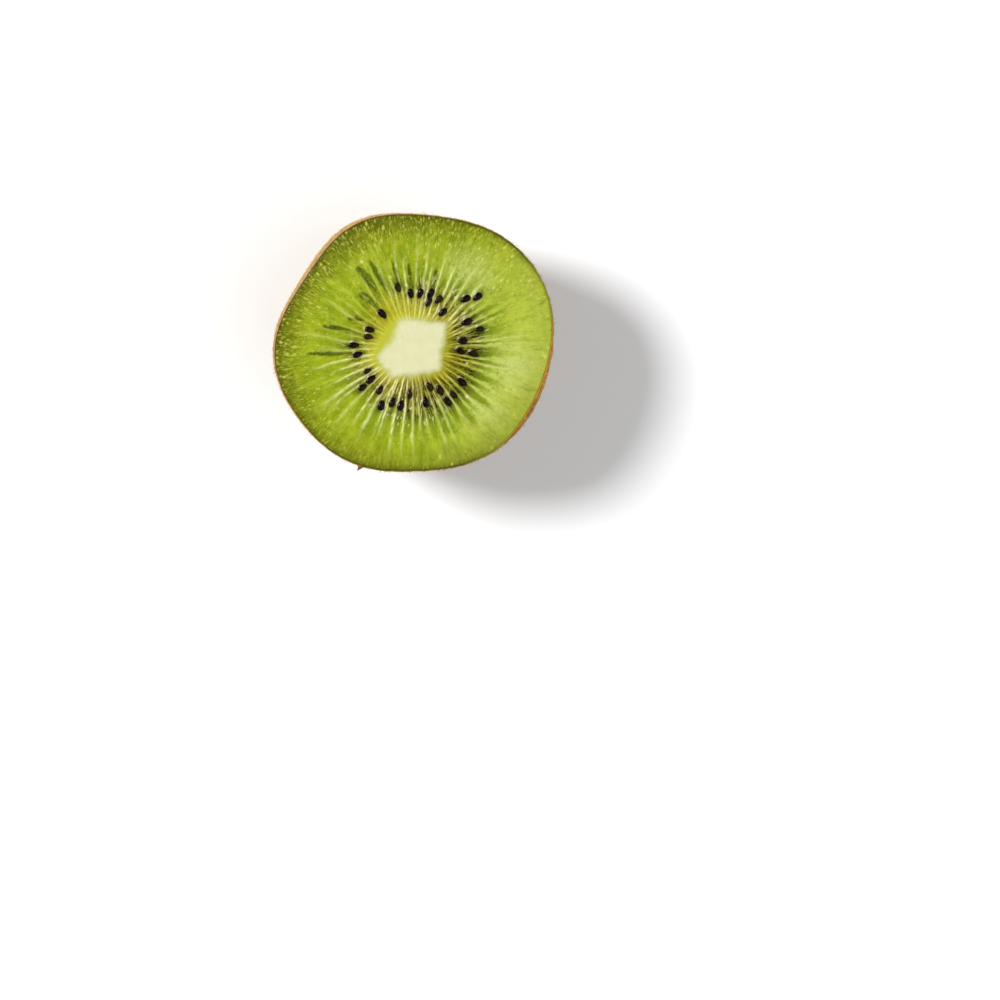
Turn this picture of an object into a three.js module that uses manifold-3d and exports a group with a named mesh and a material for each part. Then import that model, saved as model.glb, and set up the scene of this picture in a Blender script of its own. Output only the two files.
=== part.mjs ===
// Half of a fresh kiwi fruit, cut across its middle and standing on its end with the cut face up.
// Millimetres, +Z up. The origin is under the middle of the fruit, at the small flat spot that it
// stands on, and +X and +Y run along the level cut face.
import * as THREE from "three";
import { mergeVertices } from "three/addons/utils/BufferGeometryUtils.js";
import Module from "manifold-3d";

// Size of the half. Everything else is worked out from these.
const MEAN_RADIUS = 27.5;
const HALF_LENGTH = 32;
const REST_RADIUS = 7;

// Where the middle of the cut face lies. Its lobes reach further to one side than to the other.
const FACE_CENTRE = [-0.85, 0.54];

// The cut face isn't round: each lobe wave is [lobes round the fruit, height, direction in degrees].
const OUTLINE_LOBES = [
  [1, 1.09, -36],
  [2, 1.08, 18],
  [3, 0.13, -28],
  [4, 0.48, 26],
  [5, 0.32, -37],
  [6, 0.25, 2],
];

// Side of the fruit. The fullness is a superellipse's power: 2 is an ellipse, more is a barrel.
const END_FULLNESS = 2.3;
const SHOULDER = { direction: -28, height: 2.1, sharpness: 30 };
const RIM_BULGE = 0.2;
const DENTS = { around: 3, along: 0.17, height: 0.3 };

// The pale core: the corners of its section at the cut, and the share of a side that each rounds off.
// It narrows downwards to a share of that section, and ends short of the skin.
const CORE_CENTRE = [0.3, -1.5];
const CORE_CORNERS = [
  [-2.9, 5.8],
  [6.9, 5.4],
  [5.9, -4.9],
  [-4.2, -5.9],
  [-7.9, -1.2],
];
const CORE_ROUNDING = 0.28;
const CORE_DEPTH = 26;
const CORE_END_SHARE = 0.4;
const CORE_GAP = 0.3;

// The seeds stand in short arcs round the core: the arc's first and last direction in degrees, and how
// far from the middle of the face each of its seeds is. The seeds of an arc are evenly spread along it.
const SEED_LENGTH = 2.1;
const SEED_WIDTH = 1.25;
const SEED_STANDS_OUT = 0.35;
const SEED_ARCS = [
  { first: 138, last: 105, distances: [8.3, 11.3] },
  { first: 92, last: 57, distances: [9.7, 9.9, 10.4, 10.1] },
  { first: 67, last: 43, distances: [8.6, 8.6] },
  { first: 38, last: 34, distances: [14.0, 16.2] },
  { first: 19, last: 10, distances: [11.9, 14.1] },
  { first: 0, last: -12, distances: [10.4, 10.1] },
  { first: -12, last: -39, distances: [12.9, 13.3] },
  { first: -52, last: -59, distances: [14.0, 14.4] },
  { first: -60, last: -77, distances: [11.6, 10.1, 12.9] },
  { first: -92, last: -123, distances: [10.9, 13.4, 13.2, 14.6, 12.0] },
  { first: -137, last: -146, distances: [13.9, 11.0] },
  { first: -137, last: -166, distances: [11.5, 11.5] },
  { first: -176, last: -195, distances: [11.9, 9.0, 9.0] },
];

// A small torn point of skin that sticks out at the rim.
const SKIN_POINT = { direction: -112, length: 1.5, width: 1.3 };

// How finely the faces divide.
const SIDES = 90;
const RINGS = 22;
const CORE_STEPS = 6;
const CORNER_STEPS = 4;
const SEED_SIDES = 8;
const SEED_RINGS = 4;

const radians = THREE.MathUtils.degToRad;

const wasm = await Module();
wasm.setup();

// A closed geometry as a solid that can be cut and joined.
function solid(geometry) {
  const bare = geometry.index ? geometry.toNonIndexed() : geometry.clone();
  bare.deleteAttribute("normal");
  bare.deleteAttribute("uv");
  const merged = mergeVertices(bare, 1e-4);
  return new wasm.Manifold(
    new wasm.Mesh({
      numProp: 3,
      vertProperties: merged.attributes.position.array,
      triVerts: new Uint32Array(merged.index.array),
    }),
  );
}

// A solid back as a geometry.
function geometryOf(made) {
  const mesh = made.getMesh();
  const geometry = new THREE.BufferGeometry();
  geometry.setAttribute("position", new THREE.BufferAttribute(mesh.vertProperties, 3));
  geometry.setIndex(new THREE.BufferAttribute(mesh.triVerts, 1));
  geometry.computeVertexNormals();
  return geometry;
}

// Radius of the cut face in one direction.
function outline(angle) {
  return OUTLINE_LOBES.reduce(
    (sum, [lobes, height, direction]) => sum + height * Math.cos(lobes * (angle - radians(direction))),
    MEAN_RADIUS,
  );
}

// How far the side stands out beyond its plain form, at a depth under the cut: a low shoulder on one
// side, a slight swelling under the rim all round, and shallow dents. All fade out at the cut and at
// the end, and the first two are highest a third of the way down.
function sideRelief(angle, depth) {
  const down = depth / HALF_LENGTH;
  const swelling = 6.75 * down * (1 - down) ** 2;
  const facing = Math.abs(Math.cos((angle - radians(SHOULDER.direction)) / 2)) ** SHOULDER.sharpness;
  const dents = Math.sin(Math.PI * down) * Math.sin(DENTS.around * angle + DENTS.along * depth);
  return swelling * (SHOULDER.height * facing + RIM_BULGE) + DENTS.height * dents;
}

// The fruit's profile as a lathe turns it, from the flat spot up to the rim and the middle of the cut.
function profile() {
  const restTurn = Math.acos((REST_RADIUS / MEAN_RADIUS) ** (END_FULLNESS / 2));
  const depthAt = (turn) => HALF_LENGTH * (Math.sin(turn) / Math.sin(restTurn)) ** (2 / END_FULLNESS);
  const points = [new THREE.Vector2(0, 0)];
  for (let ring = 0; ring <= RINGS; ring++) {
    const turn = restTurn * (1 - ring / RINGS);
    const radius = MEAN_RADIUS * Math.cos(turn) ** (2 / END_FULLNESS);
    points.push(new THREE.Vector2(radius, HALF_LENGTH - depthAt(turn)));
  }
  points.push(new THREE.Vector2(0, HALF_LENGTH));
  return points;
}

// The whole half: a turned form, pushed out to the fruit's uneven outline.
function fruitBody() {
  const body = new THREE.LatheGeometry(profile(), SIDES).rotateX(Math.PI / 2);
  const place = body.attributes.position;
  for (let i = 0; i < place.count; i++) {
    const [x, y, z] = [place.getX(i), place.getY(i), place.getZ(i)];
    const turned = Math.hypot(x, y);
    if (turned < 1e-6) continue;
    const angle = Math.atan2(y, x);
    const radius = (turned * outline(angle)) / MEAN_RADIUS + sideRelief(angle, HALF_LENGTH - z);
    place.setXY(i, radius * Math.cos(angle), radius * Math.sin(angle));
  }
  return solid(body);
}

// The core's section at the cut, with its corners rounded off.
function coreSection() {
  const corners = CORE_CORNERS.map(([x, y]) => new THREE.Vector2(x, y));
  const section = new THREE.Shape();
  corners.forEach((corner, i) => {
    const before = corners[(i + corners.length - 1) % corners.length];
    const after = corners[(i + 1) % corners.length];
    const start = corner.clone().lerp(before, CORE_ROUNDING);
    const end = corner.clone().lerp(after, CORE_ROUNDING);
    if (i === 0) section.moveTo(start.x, start.y);
    else section.lineTo(start.x, start.y);
    section.quadraticCurveTo(corner.x, corner.y, end.x, end.y);
  });
  section.closePath();
  return section;
}

// The core from the cut downwards, narrowing towards the end of the fruit, swollen by a margin.
function coreForm(margin, rise) {
  const depth = CORE_DEPTH + margin + rise;
  const form = new THREE.ExtrudeGeometry(coreSection(), {
    depth,
    steps: CORE_STEPS,
    curveSegments: CORNER_STEPS,
    bevelEnabled: false,
  });
  const coreRadius = Math.hypot(...CORE_CORNERS[0]);
  const grown = 1 + margin / coreRadius;
  const place = form.attributes.position;
  for (let i = 0; i < place.count; i++) {
    const down = 1 - place.getZ(i) / depth;
    const narrowed = grown * (1 - (1 - CORE_END_SHARE) * down ** 1.5);
    place.setXYZ(
      i,
      CORE_CENTRE[0] + place.getX(i) * narrowed,
      CORE_CENTRE[1] + place.getY(i) * narrowed,
      HALF_LENGTH + rise - depth * down,
    );
  }
  return solid(form);
}

// One seed, a drop with its point towards the core, half sunk in the cut face.
function seed(angle, distance) {
  const drop = new THREE.SphereGeometry(1, SEED_SIDES, SEED_RINGS).rotateZ(Math.PI / 2);
  const place = drop.attributes.position;
  for (let i = 0; i < place.count; i++) {
    const [x, y, z] = [place.getX(i), place.getY(i), place.getZ(i)];
    const slim = 1 + 0.25 * x;
    place.setXYZ(i, (x * SEED_LENGTH) / 2, (y * slim * SEED_WIDTH) / 2, z * slim * SEED_STANDS_OUT);
  }
  drop.rotateZ(angle);
  drop.translate(distance * Math.cos(angle), distance * Math.sin(angle), HALF_LENGTH);
  return solid(drop);
}

function seeds() {
  return SEED_ARCS.flatMap(({ first, last, distances }) => {
    const step = (last - first) / (distances.length - 1);
    return distances.map((distance, i) => seed(radians(first + i * step), distance));
  });
}

// The torn point of skin, a small cone that leans out over the rim.
function skinPoint() {
  const angle = radians(SKIN_POINT.direction);
  const reach = outline(angle) + SKIN_POINT.length / 2 - 0.2;
  const cone = new THREE.ConeGeometry(SKIN_POINT.width / 2, SKIN_POINT.length, 6).rotateZ(-Math.PI / 2);
  cone.rotateZ(angle);
  cone.translate(reach * Math.cos(angle), reach * Math.sin(angle), HALF_LENGTH - SKIN_POINT.width / 2);
  return solid(cone);
}

function flesh() {
  const whole = [...seeds(), skinPoint()].reduce((sum, piece) => sum.add(piece), fruitBody());
  return whole.subtract(coreForm(CORE_GAP, 1));
}

function named(name, made, color, roughness) {
  const material = new THREE.MeshStandardMaterial({ color, roughness, metalness: 0 });
  const mesh = new THREE.Mesh(geometryOf(made), material);
  mesh.name = name;
  return mesh;
}

const kiwiHalf = new THREE.Group();
kiwiHalf.name = "kiwi_half";
kiwiHalf.position.set(...FACE_CENTRE, 0);
kiwiHalf.add(named("flesh", flesh(), 0x9fb02e, 0.35));
kiwiHalf.add(named("core", coreForm(0, 0), 0xe4e4b2, 0.5));

export default kiwiHalf;
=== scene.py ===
"""Half of a fresh kiwi fruit: the looks of its wet cut flesh, core, seeds and hairy skin.

Forms are worked out in millimetres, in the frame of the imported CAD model, and each mesh is made in
metres. Directions are in degrees, anticlockwise from +X as seen from above the cut face.
"""

import itertools
from math import acos, cos, hypot, radians, sin

import bpy
import numpy as np
from mathutils import Matrix, Vector


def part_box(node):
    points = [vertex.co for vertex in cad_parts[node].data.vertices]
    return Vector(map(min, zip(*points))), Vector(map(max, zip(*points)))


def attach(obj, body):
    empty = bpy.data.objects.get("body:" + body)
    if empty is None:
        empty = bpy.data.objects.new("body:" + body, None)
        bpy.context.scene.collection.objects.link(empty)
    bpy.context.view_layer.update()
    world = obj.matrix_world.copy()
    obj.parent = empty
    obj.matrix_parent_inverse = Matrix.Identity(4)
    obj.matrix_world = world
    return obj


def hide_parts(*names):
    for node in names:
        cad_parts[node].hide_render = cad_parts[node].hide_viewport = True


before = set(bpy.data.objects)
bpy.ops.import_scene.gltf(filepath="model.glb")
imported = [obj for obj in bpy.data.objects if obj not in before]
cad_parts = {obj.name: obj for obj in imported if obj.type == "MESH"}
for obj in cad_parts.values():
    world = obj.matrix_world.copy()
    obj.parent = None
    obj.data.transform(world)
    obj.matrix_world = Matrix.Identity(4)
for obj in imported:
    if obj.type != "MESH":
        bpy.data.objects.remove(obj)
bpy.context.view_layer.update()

MM = 0.001

# Form of the half, as in the CAD model.
CUT_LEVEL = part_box("core")[1].z / MM
CORE_DEPTH = CUT_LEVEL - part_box("core")[0].z / MM
MEAN_RADIUS = 27.5
REST_RADIUS = 7.0
FACE_CENTRE = np.array([-0.85, 0.54])
END_FULLNESS = 2.3
SHOULDER_DIRECTION = -28
SHOULDER_HEIGHT = 2.1
SHOULDER_SHARPNESS = 30
RIM_BULGE = 0.2
DENT_HEIGHT = 0.3
DENTS_AROUND = 3
DENTS_ALONG = 0.17

# Lobes of the cut face's outline: (how many go round, height, direction).
OUTLINE_LOBES = [
    (1, 1.09, -36),
    (2, 1.08, 18),
    (3, 0.13, -28),
    (4, 0.48, 26),
    (5, 0.32, -37),
    (6, 0.25, 2),
]

# The core: its corners from its own centre, and the ripples of its edge: (height, waves, phase).
CORE_CENTRE = FACE_CENTRE + (0.3, -1.5)
CORE_CORNERS = [(-2.9, 5.8), (6.9, 5.4), (5.9, -4.9), (-4.2, -5.9), (-8.2, -1.7)]
CORE_CORNER_POWER = 20
CORE_RIPPLES = [(0.1, 5, 1), (0.07, 11, 0)]
CORE_END_SHARE = 0.4

# How far the cream colour reaches past the core's edge, round the core: (direction, distance).
CREAM_REACH = [
    (0, -0.4), (30, 0.15), (60, 0.1), (90, 0.55), (120, 0.1), (150, -1.0), (165, -1.2),
    (180, -0.85), (210, 0.05), (240, 0.1), (270, 0.15), (300, -0.15), (330, -0.35),
]

# Layers of noise on a surface: (height, size of its features, seed).
SIDE_LUMPS = [(0.26, 7.0, 11), (0.1, 3.2, 12)]
CUT_UNEVENNESS = [(0.018, 0.5, 31), (0.02, 1.3, 32), (0.05, 6.0, 33)]
SKIN_WRINKLES = [(0.045, 0.55, 71), (0.04, 1.2, 72)]
RIM_RAGGEDNESS = [(0.09, 0.7, 75), (0.05, 0.3, 76)]
RAY_WANDER = [(0.13, 2.2, 35), (0.06, 0.7, 36)]

# Seeds: the first and last direction of each arc and, for each seed, how far it is from the middle of
# the face and how far flesh and jelly veil it, from 0, bare, to 1.
SEED_LENGTH = 2.2
SEED_WIDTH = 1.38
SEED_HEIGHT = 0.385
SEED_SINKS = 0.06
VEIL_SINKS = 0.2
SEED_TWIST_RADIANS = 0.2
SEED_SIDES = 28
SEED_RINGS = 18
SEED_ARCS = [
    (138, 105, [(8.3, 0.0), (11.3, 0.55)]),
    (92, 57, [(9.7, 0.0), (9.9, 0.0), (10.4, 0.0), (10.1, 0.35)]),
    (67, 43, [(8.6, 0.3), (8.6, 0.1)]),
    (38, 34, [(14.0, 0.0), (16.2, 0.0)]),
    (19, 10, [(11.9, 0.0), (14.1, 0.3)]),
    (0, -12, [(10.4, 0.0), (10.1, 0.0)]),
    (-12, -39, [(12.9, 0.3), (13.3, 0.0)]),
    (-52, -59, [(14.0, 0.35), (14.4, 0.1)]),
    (-60, -77, [(11.6, 0.3), (10.1, 0.5), (12.9, 0.0)]),
    (-92, -123, [(10.9, 0.5), (13.4, 0.0), (13.2, 0.1), (14.6, 0.0), (12.0, 0.45)]),
    (-137, -146, [(13.9, 0.1), (11.0, 0.5)]),
    (-137, -166, [(11.5, 0.0), (11.5, 0.0)]),
    (-176, -195, [(11.9, 0.0), (9.0, 0.45), (9.0, 0.0)]),
]

# A painted highlight on the wet lip beside each seed.
LIP_GLINT_SIDE = 145
LIP_GLINT_WIDTH = 0.2
LIP_GLINT_STRETCH = 1.8

# Rays: the pale walls between the seed chambers. They fan out from the core, slant a little and keep
# some degrees off a seed.
RAY_COUNT = 54
FIRST_RAY = 195
RAY_JITTER = 1.1
RAY_CLEARS_SEED = 3.0
RAY_SLANT = 3.5
RAY_TWIST = 0.6
RAY_SLANT_DIRECTION = 230
RAY_SLANT_START = 12
RAY_SLANT_RUN = 10
RAY_WIDTH = 0.06
RAY_WIDENING = 0.013
RAY_END = 23.6
RAY_FADE = 7.5

# How strongly the rays show round the face: (direction, strength).
RAY_STRENGTHS = [
    (0, 0.6), (25, 0.72), (50, 1.12), (75, 1.0), (100, 0.7), (130, 0.42), (165, 0.4),
    (190, 0.78), (225, 1.12), (255, 1.08), (290, 0.66), (330, 0.56),
]

# Seed chambers between the rays. They are longest at one side.
CHAMBER_END = 18.2
CHAMBER_GROWTH = 1.9
LONG_CHAMBERS = 300

# How dark the chambers are round the face: (direction, strength).
CHAMBER_STRENGTHS = [
    (0, 1.2), (25, 1.1), (45, 0.76), (80, 0.6), (115, 0.52), (145, 0.45), (180, 0.56),
    (210, 0.6), (245, 0.64), (275, 1.15), (300, 1.3), (330, 1.2),
]

# Empty seed chambers that show as dark streaks: (direction at the near end and at the far end, near end
# and far end from the core's middle, width).
DARK_CHAMBERS = [
    (121.5, 125.5, 12.4, 20.8, 1.7),
    (114.5, 117.0, 11.0, 20.5, 1.1),
    (101.5, 104.0, 11.6, 18.6, 1.1),
    (130.0, 135.0, 10.0, 16.2, 1.5),
    (184.5, 183.0, 11.4, 22.4, 0.95),
    (163.5, 166.5, 12.2, 19.6, 0.9),
    (150.0, 156.0, 11.2, 15.0, 0.8),
    (92.0, 94.0, 13.0, 17.5, 0.7),
    (72.0, 74.0, 13.0, 17.0, 0.7),
]

# Drops of juice, each a slight rise with a painted highlight: (direction, distance from the middle of the
# face, radius).
DROP_GLINT_STRENGTH = 0.8
JUICE_DROPS = [
    (-45, 16.2, 0.3),
    (-22, 12.3, 0.24),
    (33, 20.0, 0.22),
    (50, 13.1, 0.28),
    (96, 11.5, 0.24),
    (109, 13.8, 0.22),
    (123, 19.2, 0.28),
    (-113, 15.5, 0.24),
    (-108, 15.9, 0.2),
]

# Skin and the torn point of it at the rim: (share of its length, share of its width, how far sunk).
SKIN_THICKNESS = 0.2
SKIN_POINT_DIRECTION = -112
SKIN_POINT_LENGTH = 1.3
SKIN_POINT_WIDTH = 1.3
SKIN_POINT_SECTIONS = [
    (-0.6, 0.6, 0.2),
    (-0.1, 1.15, 0.1),
    (0.2, 0.95, 0.0),
    (0.5, 0.6, -0.05),
    (0.8, 0.36, 0.0),
    (1.0, 0.14, 0.1),
]

# Hairs. They thin out on the lit side. Scatter, swirl and wave turn them, in radians.
LIT_DIRECTION = 150
HAIRS_END = 0.985
HAIR_THINNING = 0.5
HAIR_ROOT_DEPTH = 0.03
HAIR_SCATTER = 0.5
HAIR_SWIRL = 1.8
HAIR_WAVE = 0.35

# lift is how far a hair stands up from the skin at its root and its tip, and end how far down it grows.
HAIR_KINDS = {
    "lying": dict(count=11500, segments=3, length=(0.8, 1.8), width=0.135, lift=(12, -8), curl=38),
    "curled": dict(count=11500, segments=3, length=(0.6, 1.4), width=0.12, lift=(20, -12), curl=70),
    "fine": dict(count=18000, segments=2, length=(0.4, 0.9), width=0.1, lift=(24, -6), curl=45),
    "rim": dict(count=300, segments=4, length=(0.7, 1.5), width=0.08, lift=(45, 15), curl=80, end=0.05),
}

# The photograph's frame and the place of the cut face's middle in it, in pixels.
PHOTO_SIZE = 1000
PHOTO_FACE = (412, 341)
PHOTO_MM_PER_PIXEL = 0.205
CAMERA_DISTANCE = 650.0
CAMERA_LEAN = 7.5
CAMERA_LEAN_DIRECTION = 152
SENSOR_WIDTH = 36.0

# Studio. A light's angles are in degrees, and spread is how wide it looks.
FLOOR_HALF_WIDTH = 6000.0
KEY_LIGHT = dict(direction=158, elevation=42, spread=15, strength=3.05)
FILL_LIGHT = dict(direction=-25, elevation=60, spread=60, strength=0.75)
HORIZON_GLOW = 1.03
OVERHEAD_GLOW = 0.16


# Number helpers


def smooth_step(low, high, value):
    """Rises smoothly from 0 at low to 1 at high. Falls where high is below low."""
    t = np.clip((value - low) / (high - low), 0, 1)
    return t * t * (3 - 2 * t)


def bump(distance, width):
    """A bell that is 1 at a distance of 0."""
    return np.exp(-((distance / width) ** 2))


def full_turn(count):
    return np.linspace(0, 2 * np.pi, count, endpoint=False)


def turn_between(first, second):
    """The angle from one direction to another, from -pi to pi."""
    return (first - second + np.pi) % (2 * np.pi) - np.pi


def unit(angle):
    """A step of 1 in a direction."""
    return np.array([cos(angle), sin(angle)])


def polar(points, centre):
    """Direction and distance of points from a centre, seen from above."""
    away = points[..., :2] - centre
    return np.arctan2(away[..., 1], away[..., 0]), np.hypot(away[..., 0], away[..., 1])


def along_and_across(offset, angle):
    """How far offsets run along a direction and across it."""
    x, y = unit(angle)
    return offset[..., 0] * x + offset[..., 1] * y, offset[..., 1] * x - offset[..., 0] * y


def noise(points, cell, seed):
    """Smooth noise from -1 to 1 at points in millimetres, with features about a cell across."""
    lattice = 32
    values = np.random.default_rng(seed).uniform(-1, 1, (lattice, lattice, lattice))
    place = np.asarray(points) / cell + lattice
    corner = np.floor(place).astype(int)
    t = place - corner
    t = t * t * (3 - 2 * t)
    total = np.zeros(place.shape[:-1])
    for step in itertools.product((0, 1), repeat=3):
        index = (corner + step) % lattice
        weight = np.prod(np.where(step, t, 1 - t), axis=-1)
        total += weight * values[index[..., 0], index[..., 1], index[..., 2]]
    return total


def layered_noise(points, layers):
    return sum(height * noise(points, cell, seed) for height, cell, seed in layers)


def along_ring(pairs, angle):
    """Interpolates (direction, value) pairs round the circle."""
    directions, values = zip(*pairs)
    directions = np.radians(directions)
    closed = np.append(directions, directions[0] + 2 * np.pi)
    return np.interp(np.mod(angle, 2 * np.pi), closed, [*values, values[0]])


# The fruit's form


def outline(angle):
    """Radius of the cut face in one direction from its middle."""
    waves = [height * np.cos(lobes * (angle - radians(turn))) for lobes, height, turn in OUTLINE_LOBES]
    return MEAN_RADIUS + sum(waves)


def side_relief(angle, down):
    """How far a shoulder on one side, a slight swelling all round and dents stand out of the side.

    The first two are highest a third of the way down, where swelling is 1."""
    swelling = 27 / 4 * down * (1 - down) ** 2
    facing = np.abs(np.cos((angle - radians(SHOULDER_DIRECTION)) / 2)) ** SHOULDER_SHARPNESS
    dents = np.sin(np.pi * down) * np.sin(DENTS_AROUND * angle + DENTS_ALONG * down * CUT_LEVEL)
    return swelling * (SHOULDER_HEIGHT * facing + RIM_BULGE) + DENT_HEIGHT * dents


def plain_side(angle, along):
    """Points on the smooth side of the fruit. along is 0 at the rim and 1 at the flat spot."""
    rest_turn = acos((REST_RADIUS / MEAN_RADIUS) ** (END_FULLNESS / 2))
    down = (np.sin(along * rest_turn) / sin(rest_turn)) ** (2 / END_FULLNESS)
    share = np.cos(along * rest_turn) ** (2 / END_FULLNESS)
    radius = share * outline(angle) + side_relief(angle, down)
    x = FACE_CENTRE[0] + radius * np.cos(angle)
    y = FACE_CENTRE[1] + radius * np.sin(angle)
    return np.stack([x, y, CUT_LEVEL * (1 - down) + 0 * angle], axis=-1)


def normals(grid):
    """Outward normals of a grid whose rows go down the fruit and whose columns go round it."""
    wrapped = np.concatenate([grid[:, -1:], grid, grid[:, :1]], axis=1)
    round_it = wrapped[:, 2:] - wrapped[:, :-2]
    down_it = np.gradient(grid, axis=0)
    normal = np.cross(down_it, round_it)
    return normal / np.maximum(np.linalg.norm(normal, axis=-1, keepdims=True), 1e-9)


def side_grid(angles, along):
    """The side with its lumps, as a grid of points, and the outward normals there."""
    grid = plain_side(angles[None, :], along[:, None])
    fade = np.sin(np.pi * np.clip(along, 0, 1))[:, None]
    grid = grid + normals(grid) * (layered_noise(grid, SIDE_LUMPS) * fade)[..., None]
    return grid, normals(grid)


def core_edge(angle):
    """Radius of the core's rounded outline at the cut, from its own centre."""
    corners = np.array(CORE_CORNERS)
    edges = np.roll(corners, 1, axis=0) - corners
    outward = np.stack([-edges[:, 1], edges[:, 0]], axis=1)
    outward /= np.linalg.norm(outward, axis=1, keepdims=True)
    reach = np.sum(outward * corners, axis=1)
    outward *= np.sign(reach)[:, None]
    facing = np.cos(angle)[..., None] * outward[:, 0] + np.sin(angle)[..., None] * outward[:, 1]
    nearness = np.maximum(facing / np.abs(reach), 1e-6)
    plain = np.sum(nearness**CORE_CORNER_POWER, axis=-1) ** (-1 / CORE_CORNER_POWER)
    return plain + sum(height * np.sin(waves * angle + phase) for height, waves, phase in CORE_RIPPLES)


def core_section(angle, down):
    """Points round the core, at a share of the way down it."""
    radius = core_edge(angle) * (1 - (1 - CORE_END_SHARE) * down**1.5)
    x = CORE_CENTRE[0] + radius * np.cos(angle)
    y = CORE_CENTRE[1] + radius * np.sin(angle)
    return np.stack([x, y, np.full_like(x, CUT_LEVEL - down * CORE_DEPTH)], axis=-1)


# Mesh helpers


def show(name, data):
    shown = bpy.data.objects.new(name, data)
    bpy.context.scene.collection.objects.link(shown)
    return shown


def new_piece(name, points, faces, masks=None):
    """A smooth mesh object from points in millimetres, with one number a point for each mask."""
    mesh = bpy.data.meshes.new(name)
    mesh.from_pydata((np.asarray(points) * MM).tolist(), [], faces)
    for mask, values in (masks or {}).items():
        attribute = mesh.attributes.new(mask, "FLOAT", "POINT")
        attribute.data.foreach_set("value", np.asarray(values, np.float32))
    mesh.polygons.foreach_set("use_smooth", [True] * len(mesh.polygons))
    mesh.update()
    return show(name, mesh)


def closed_points(rows):
    """The points of rows that go round a form, and a single point to shut each end."""
    return np.concatenate([rows.reshape(-1, 3), [rows[0].mean(axis=0), rows[-1].mean(axis=0)]])


def closed_faces(count, columns, first=0):
    """Faces over such points, which are numbered from first. A walk along the rows keeps the solid on
    its right hand, as seen with the columns going away."""
    index = first + np.arange(count * columns).reshape(count, columns)
    beside = np.roll(index, -1, axis=1)
    start, end = first + count * columns, first + count * columns + 1
    quads = np.stack([index[:-1], index[1:], beside[1:], beside[:-1]], axis=-1).reshape(-1, 4)
    top = np.stack([np.full(columns, start), index[0], beside[0]], axis=-1)
    bottom = np.stack([np.full(columns, end), beside[-1], index[-1]], axis=-1)
    return quads.tolist() + top.tolist() + bottom.tolist()


def closed_grid(name, rows, masks):
    """A closed piece from rows of points. Each mask is an array of the rows' shape."""
    rows = np.asarray(rows)
    count, columns = rows.shape[:2]
    flat = {}
    for mask, values in masks.items():
        values = np.broadcast_to(values, (count, columns))
        flat[mask] = np.concatenate([values.ravel(), [values[0].mean(), values[-1].mean()]])
    return new_piece(name, closed_points(rows), closed_faces(count, columns), flat)


def disc_rows(edge, shares):
    """Rows between an edge and its middle, at shares of the way from the middle."""
    middle = edge.mean(axis=0)
    return np.stack([middle + (edge - middle) * share for share in shares])


# Seeds, rays and chambers


def seed_places():
    """Each seed's direction in radians, distance from the middle of the face, and veil."""
    for first, last, seeds in SEED_ARCS:
        for direction, (distance, veil) in zip(np.linspace(first, last, len(seeds)), seeds):
            yield radians(direction), distance, veil


def face_spot(angle, distance):
    """A place on the cut face, at an angle and a distance from its middle."""
    return FACE_CENTRE + distance * unit(angle)


def ray_slant(angle, distance):
    """How far a ray has turned from its direction, at a distance from the core's middle."""
    spread = radians(RAY_SLANT) * np.cos(2 * (angle - radians(RAY_SLANT_DIRECTION)))
    return (spread + radians(RAY_TWIST)) * (distance - RAY_SLANT_START) / RAY_SLANT_RUN


def ray_directions():
    """Directions of the rays from the core's middle. A ray that would cross a seed moves aside."""
    random = np.random.default_rng(5)
    even = FIRST_RAY + np.arange(RAY_COUNT) * 360 / RAY_COUNT
    rays = np.radians(even + random.uniform(-RAY_JITTER, RAY_JITTER, RAY_COUNT))
    clear = radians(RAY_CLEARS_SEED)
    for direction, distance, _ in seed_places():
        seed_angle, seed_distance = polar(face_spot(direction, distance), CORE_CENTRE)
        seed_turn = turn_between(seed_angle, ray_slant(rays, seed_distance))
        away = turn_between(rays, seed_turn)
        rays = np.where(np.abs(away) < clear, seed_turn + np.sign(away) * clear, rays)
    return np.sort(np.mod(rays, 2 * np.pi))


def ray_mask(points, turned, distance, edge, rays):
    """The pale rays, each of its own strength, length and width."""
    random = np.random.default_rng(8)
    wander = layered_noise(points, RAY_WANDER)
    uneven_width = 1 + 0.45 * noise(points, 1.2, 37)
    mask = np.zeros(distance.shape)
    for number, direction in enumerate(rays):
        strength = along_ring(RAY_STRENGTHS, direction) * random.uniform(0.5, 1.25)
        end = RAY_END + random.uniform(-3.0, 1.5)
        width = (RAY_WIDTH + RAY_WIDENING * distance) * random.uniform(0.75, 1.3) * uneven_width
        across = turn_between(turned, direction) * distance + wander
        begun = smooth_step(edge - 0.4, edge + 1.5, distance)
        still_on = smooth_step(end, end - RAY_FADE, distance)
        broken = 0.88 + 0.65 * noise(points, 1.0, 40 + number)
        mask = np.maximum(mask, strength * begun * still_on * broken * bump(across, width))
    return np.clip(mask, 0, 1.2)


def chamber_mask(points, turned, distance, edge, rays):
    """The dark seed chambers between the rays. Each ends outwards in a pointed tongue."""
    random = np.random.default_rng(9)
    ragged = 0.02 * noise(points, 0.9, 38)
    mask = np.zeros(distance.shape)
    for direction, following in zip(rays, np.roll(rays, -1)):
        gap = turn_between(following, direction) % (2 * np.pi)
        middle = direction + gap / 2
        strength = along_ring(CHAMBER_STRENGTHS, middle) * random.uniform(0.75, 1.1)
        growth = CHAMBER_GROWTH * cos(middle - radians(LONG_CHAMBERS))
        end = CHAMBER_END + growth + random.uniform(-2.6, 2.2)
        half_width = gap / 2 * smooth_step(end + 2, 11.5, distance) ** 0.5 + 1e-3
        aside = np.abs(turn_between(turned, middle) + ragged) / half_width
        begun = smooth_step(edge + 0.2, edge + 2.8, distance)
        still_on = smooth_step(end + 1.5, end - 4.5, distance)
        mask = np.maximum(mask, strength * smooth_step(1.1, 0.4, aside) * begun * still_on)
    return np.clip(mask, 0, 1)


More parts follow.
